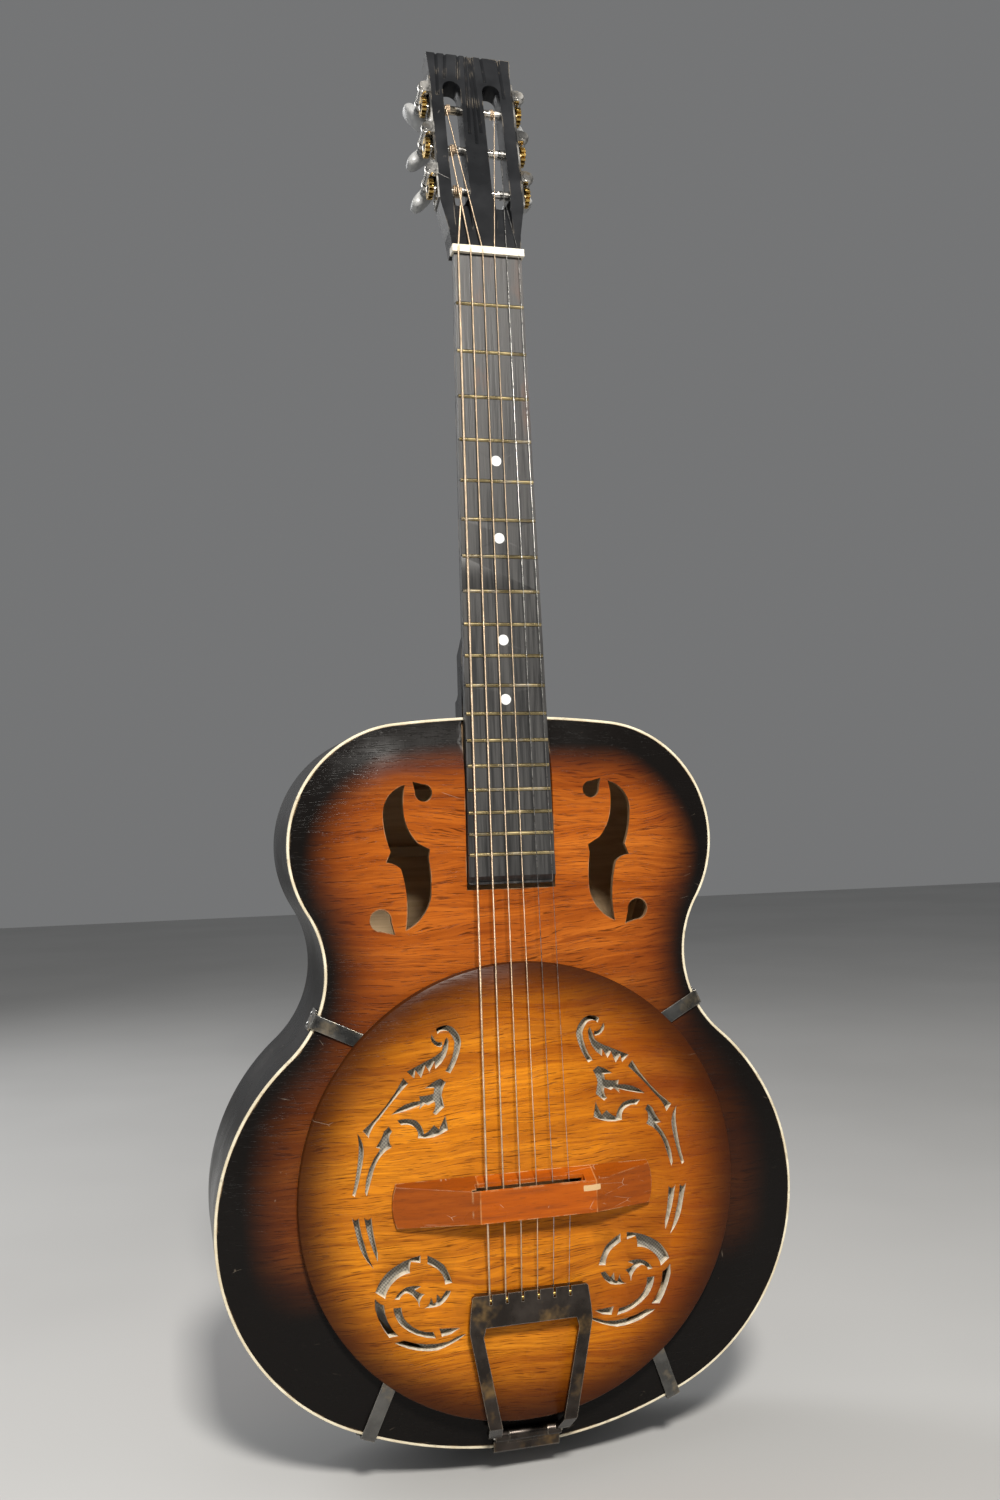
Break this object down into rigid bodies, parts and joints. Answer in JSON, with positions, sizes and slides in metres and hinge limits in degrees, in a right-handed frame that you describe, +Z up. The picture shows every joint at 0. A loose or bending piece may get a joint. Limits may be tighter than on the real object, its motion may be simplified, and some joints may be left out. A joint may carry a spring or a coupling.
{
  "type": "resonator guitar",
  "caption": "Wood-bodied resonator guitar with an arched front, round fretwork cover over a metal cone, slotted head with geared tuners and a trapeze tailpiece.",
  "frame": {"origin": "in the neck just under the nut, midway between the fingerboard's face and the back of the neck, where a wall hanger's yoke holds the guitar", "axes": "+Z up the neck towards the head, the front with the strings faces -Y, +X is the treble side"},
  "size_m": [0.391, 0.137, 0.9727],
  "materials": {
    "soundboard": "gloss sunburst lacquer over figured wood",
    "back": "gloss sunburst lacquer",
    "side_bass": "gloss black lacquer",
    "side_treble": "gloss black lacquer",
    "front_binding": "aged cream",
    "linings": "bare",
    "neck_block": "bare",
    "tail_block": "bare",
    "braces": "bare",
    "soundwell": "bare",
    "cone": "spun",
    "biscuit": "bare maple",
    "saddle": "bare maple",
    "cover": "gloss sunburst lacquer over figured wood",
    "cover_screen": "dull grey",
    "handrest": "gloss dark brown lacquer",
    "cover_straps": "dulled plating",
    "body_screws": "plated",
    "neck": "gloss black lacquer",
    "fingerboard": "dyed black, worn",
    "frets": "worn",
    "position_dots": "pearl",
    "nut": "aged bone",
    "string_1_low_e": "bronze wound",
    "string_2_a": "bronze wound",
    "string_3_d": "bronze wound",
    "string_4_g": "bronze wound",
    "string_5_b": "plain",
    "string_6_high_e": "plain",
    "tailpiece": "dark plating worn to brass",
    "hinge_rod": "plated",
    "tail_bracket": "dark plating",
    "end_pin": "black",
    "tuner_plate_bass": "nickel plate, dulled",
    "tuner_plate_treble": "nickel plate, dulled",
    "plate_screws": "nickel plate",
    "worm": "nickel plate",
    "button": "aged white pearl",
    "gear": "aged",
    "roller": "nickel plate"
  },
  "bodies": {
    "guitar": {"soundboard": "soundboard", "back": "back", "side_bass": "side_bass", "side_treble": "side_treble", "front_binding": "front_binding", "linings": "linings", "neck_block": "neck_block", "tail_block": "tail_block", "braces": "braces", "soundwell": "soundwell", "cone": "cone", "biscuit": "biscuit", "saddle": "saddle", "cover": "cover", "cover_screen": "cover_screen", "handrest": "handrest", "cover_straps": "cover_straps", "body_screws": "body_screws", "neck": "neck", "fingerboard": "fingerboard", "frets": "frets", "position_dots": "position_dots", "nut": "nut", "string_1_low_e": "string_1_low_e", "string_2_a": "string_2_a", "string_3_d": "string_3_d", "string_4_g": "string_4_g", "string_5_b": "string_5_b", "string_6_high_e": "string_6_high_e", "tailpiece": "tailpiece", "hinge_rod": "hinge_rod", "tail_bracket": "tail_bracket", "end_pin": "end_pin", "tuner_plate_bass": "tuner_plate_bass", "tuner_plate_treble": "tuner_plate_treble", "plate_screws": "plate_screws"},
    "worm_shaft_1": {"worm_1": "worm", "button_1": "button"},
    "string_roller_1": {"gear_1": "gear", "roller_1": "roller"},
    "worm_shaft_2": {"worm_2": "worm", "button_2": "button"},
    "string_roller_2": {"gear_2": "gear", "roller_2": "roller"},
    "worm_shaft_3": {"worm_3": "worm", "button_3": "button"},
    "string_roller_3": {"gear_3": "gear", "roller_3": "roller"},
    "worm_shaft_4": {"worm_4": "worm", "button_4": "button"},
    "string_roller_4": {"gear_4": "gear", "roller_4": "roller"},
    "worm_shaft_5": {"worm_5": "worm", "button_5": "button"},
    "string_roller_5": {"gear_5": "gear", "roller_5": "roller"},
    "worm_shaft_6": {"worm_6": "worm", "button_6": "button"},
    "string_roller_6": {"gear_6": "gear", "roller_6": "roller"}
  },
  "joints": [
    {"name": "worm_1_turn", "type": "hinge", "parent": "guitar", "child": "worm_shaft_1", "pos_m": [-0.0348, 0.01143, 0.06377], "axis": [0, -0.9725, 0.2328], "continuous": true},
    {"name": "roller_1_turn", "type": "hinge", "parent": "guitar", "child": "string_roller_1", "pos_m": [-0.02, 0.00899, 0.05356], "axis": [1, 0, 0], "continuous": true},
    {"name": "worm_2_turn", "type": "hinge", "parent": "guitar", "child": "worm_shaft_2", "pos_m": [-0.0348, 0.01958, 0.09781], "axis": [0, -0.9725, 0.2328], "continuous": true},
    {"name": "roller_2_turn", "type": "hinge", "parent": "guitar", "child": "string_roller_2", "pos_m": [-0.02, 0.01714, 0.0876], "axis": [1, 0, 0], "continuous": true},
    {"name": "worm_3_turn", "type": "hinge", "parent": "guitar", "child": "worm_shaft_3", "pos_m": [-0.0348, 0.02773, 0.13185], "axis": [0, -0.9725, 0.2328], "continuous": true},
    {"name": "roller_3_turn", "type": "hinge", "parent": "guitar", "child": "string_roller_3", "pos_m": [-0.02, 0.02528, 0.12164], "axis": [1, 0, 0], "continuous": true},
    {"name": "worm_4_turn", "type": "hinge", "parent": "guitar", "child": "worm_shaft_4", "pos_m": [0.0348, 0.02773, 0.13185], "axis": [0, -0.9725, 0.2328], "continuous": true},
    {"name": "roller_4_turn", "type": "hinge", "parent": "guitar", "child": "string_roller_4", "pos_m": [0.02, 0.02528, 0.12164], "axis": [1, 0, 0], "continuous": true},
    {"name": "worm_5_turn", "type": "hinge", "parent": "guitar", "child": "worm_shaft_5", "pos_m": [0.0348, 0.01958, 0.09781], "axis": [0, -0.9725, 0.2328], "continuous": true},
    {"name": "roller_5_turn", "type": "hinge", "parent": "guitar", "child": "string_roller_5", "pos_m": [0.02, 0.01714, 0.0876], "axis": [1, 0, 0], "continuous": true},
    {"name": "worm_6_turn", "type": "hinge", "parent": "guitar", "child": "worm_shaft_6", "pos_m": [0.0348, 0.01143, 0.06377], "axis": [0, -0.9725, 0.2328], "continuous": true},
    {"name": "roller_6_turn", "type": "hinge", "parent": "guitar", "child": "string_roller_6", "pos_m": [0.02, 0.00899, 0.05356], "axis": [1, 0, 0], "continuous": true}
  ],
  "couplings": [
    {"joint": "roller_1_turn", "follows": "worm_1_turn", "ratio": -0.071429},
    {"joint": "roller_2_turn", "follows": "worm_2_turn", "ratio": -0.071429},
    {"joint": "roller_3_turn", "follows": "worm_3_turn", "ratio": -0.071429},
    {"joint": "roller_4_turn", "follows": "worm_4_turn", "ratio": 0.071429},
    {"joint": "roller_5_turn", "follows": "worm_5_turn", "ratio": 0.071429},
    {"joint": "roller_6_turn", "follows": "worm_6_turn", "ratio": 0.071429}
  ]
}
